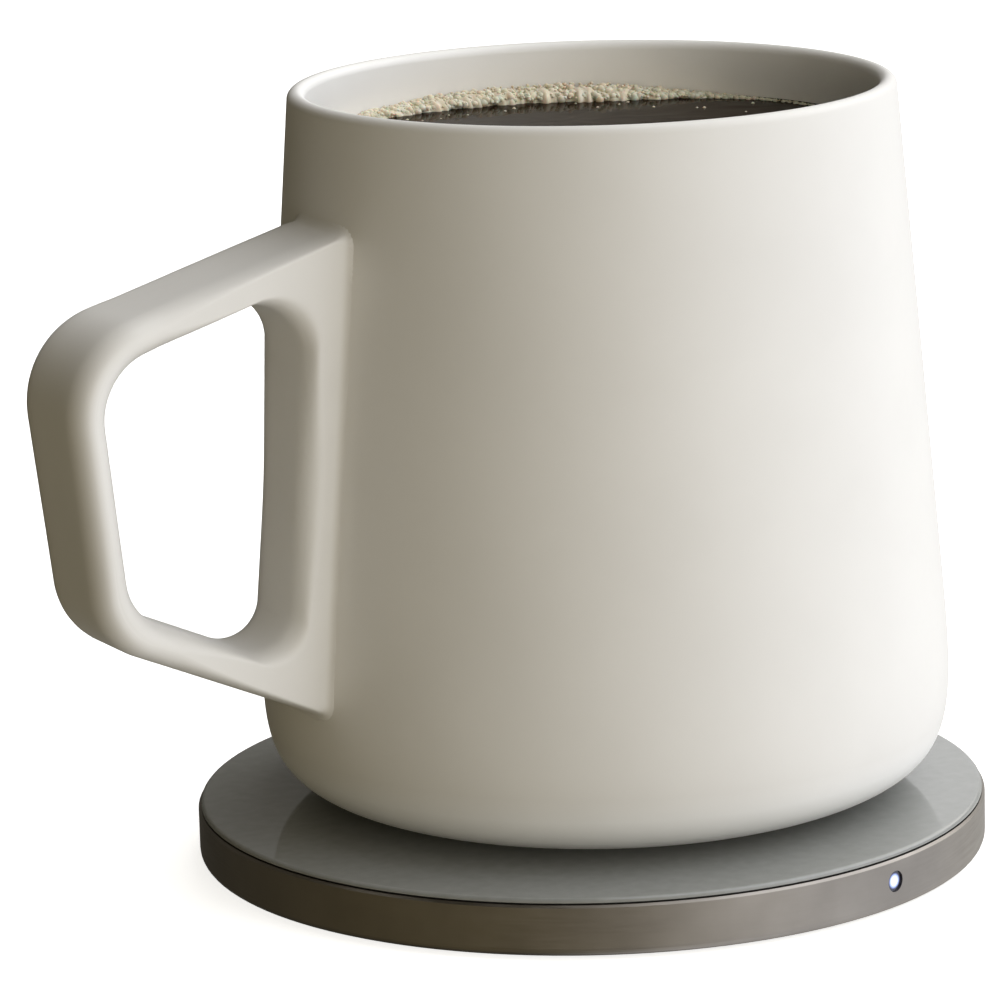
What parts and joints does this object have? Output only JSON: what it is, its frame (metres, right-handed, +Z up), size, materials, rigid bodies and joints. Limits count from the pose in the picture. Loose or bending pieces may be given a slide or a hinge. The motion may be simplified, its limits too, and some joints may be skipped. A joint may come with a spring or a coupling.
{
  "type": "self-heating mug with warming pad",
  "caption": "Tapered ceramic mug with a four-sided loop handle and a sealed heating base, standing on a thin round induction warming pad with a metal side ring.",
  "frame": {"origin": "centre of the pad's underside, on the silicone foot", "axes": "+Z up, the mug's handle points along -X, the power socket is on the +Y side of the pad"},
  "size_m": [0.1303, 0.1056, 0.103],
  "materials": {
    "matte_ceramic": "satin matt glaze, warm ivory",
    "heater_aluminium": "plain",
    "fibre_insulation": "felted",
    "circuit_board": "solder mask",
    "chip_black": "moulded",
    "capacitor_tan": "fired",
    "copper_litz": "enamelled copper",
    "ferrite_dark": "sintered",
    "seal_silicone": "soft",
    "cap_plastic": "fine matt",
    "plate_grey": "smooth, glossy",
    "gasket_black": "soft",
    "ring_metal": "anodised champagne grey, satin, bright upper chamfer",
    "cover_plastic": "fine grain",
    "foot_silicone": "soft",
    "light_lens": "lit",
    "steel": "plated"
  },
  "bodies": {
    "warming_pad": {"top_plate": "plate_grey", "seam_gasket": "gasket_black", "side_ring": "ring_metal", "bottom_cover": "cover_plastic", "foot_disc": "foot_silicone", "light_surround": "chip_black", "light_pipe": "light_lens", "status_led": "light_lens", "main_board": "circuit_board", "control_chip": "chip_black", "driver_chip": "chip_black", "bridge_transistors": "chip_black", "power_inductor": "ferrite_dark", "resonant_capacitors": "capacitor_tan", "transmitter_coil": "copper_litz", "transmitter_ferrite": "ferrite_dark", "coil_tray": "cap_plastic", "coil_leads": "copper_litz", "pad_temperature_sensor": "chip_black", "usb_socket_shell": "steel", "usb_socket_tongue": "chip_black", "cover_screws": "steel", "board_screws": "steel"},
    "mug": {"mug_cup": "matte_ceramic", "mug_handle": "matte_ceramic", "heating_plate": "heater_aluminium", "thermal_cutout": "chip_black", "insulation_disc": "fibre_insulation", "receiver_board": "circuit_board", "rectifier_chip": "chip_black", "tuning_capacitors": "capacitor_tan", "heater_leads": "copper_litz", "receiver_leads": "copper_litz", "receiver_ferrite": "ferrite_dark", "receiver_coil": "copper_litz", "base_seal": "seal_silicone", "base_cap": "cap_plastic"}
  },
  "joints": [
    {"name": "mug_lift", "type": "slide", "parent": "warming_pad", "child": "mug", "axis": [0, 0, 1], "range_m": [0, 0.1]}
  ]
}
